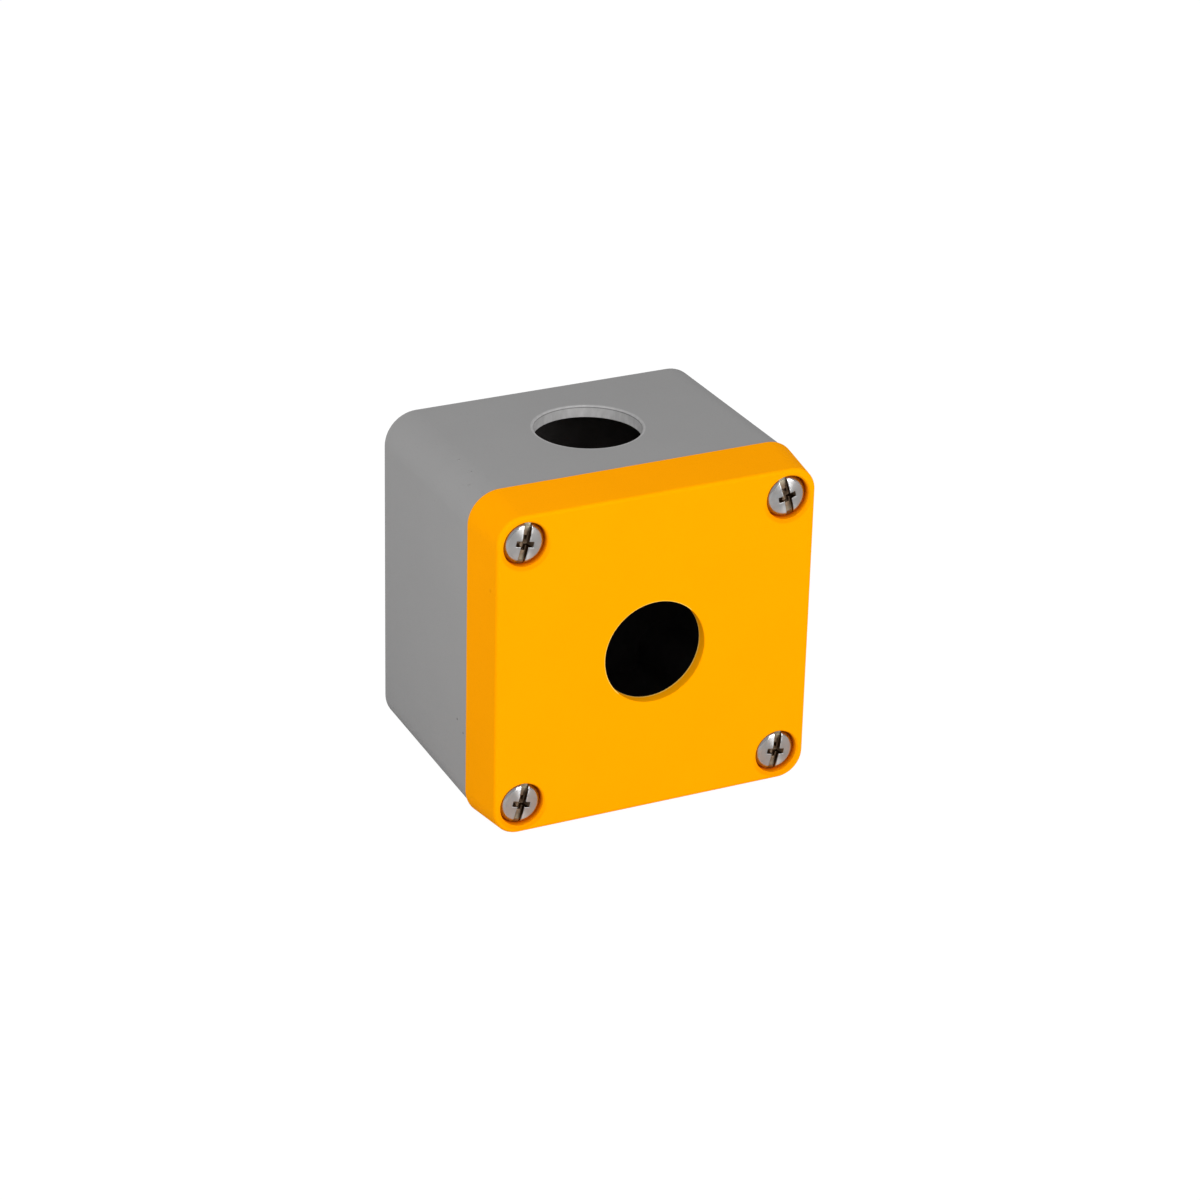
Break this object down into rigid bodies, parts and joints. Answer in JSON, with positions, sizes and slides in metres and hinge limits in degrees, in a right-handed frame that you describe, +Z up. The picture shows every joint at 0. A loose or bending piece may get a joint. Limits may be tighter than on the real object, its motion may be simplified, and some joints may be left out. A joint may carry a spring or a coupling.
{
  "type": "pushbutton enclosure",
  "caption": "Square die-cast metal box with a screwed-on yellow lid that takes one panel pushbutton, and a cable entry through its top wall.",
  "frame": {"origin": "centre of the flat back face, which lies on the wall", "axes": "+X to the right seen from the front, -Y out of the wall to the front of the lid, +Z up, towards the cable entry"},
  "size_m": [0.073, 0.056, 0.073],
  "materials": {
    "housing_paint": "fine-textured matt grey paint on die-cast aluminium",
    "lid_paint": "fine-textured satin yellow paint on die-cast aluminium",
    "gasket_rubber": "matt black rubber",
    "screw_steel": "bright nickel-plated steel",
    "washer_steel": "bright zinc-plated steel",
    "earth_brass": "plain brass"
  },
  "bodies": {
    "root": {"housing": "housing_paint", "lid": "lid_paint", "lid_gasket": "gasket_rubber", "lid_screw_top_left": "screw_steel", "lid_screw_top_right": "screw_steel", "lid_screw_bottom_left": "screw_steel", "lid_screw_bottom_right": "screw_steel", "earth_cup_washer": "earth_brass", "earth_spring_washer": "washer_steel", "earth_screw": "screw_steel"}
  },
  "joints": []
}
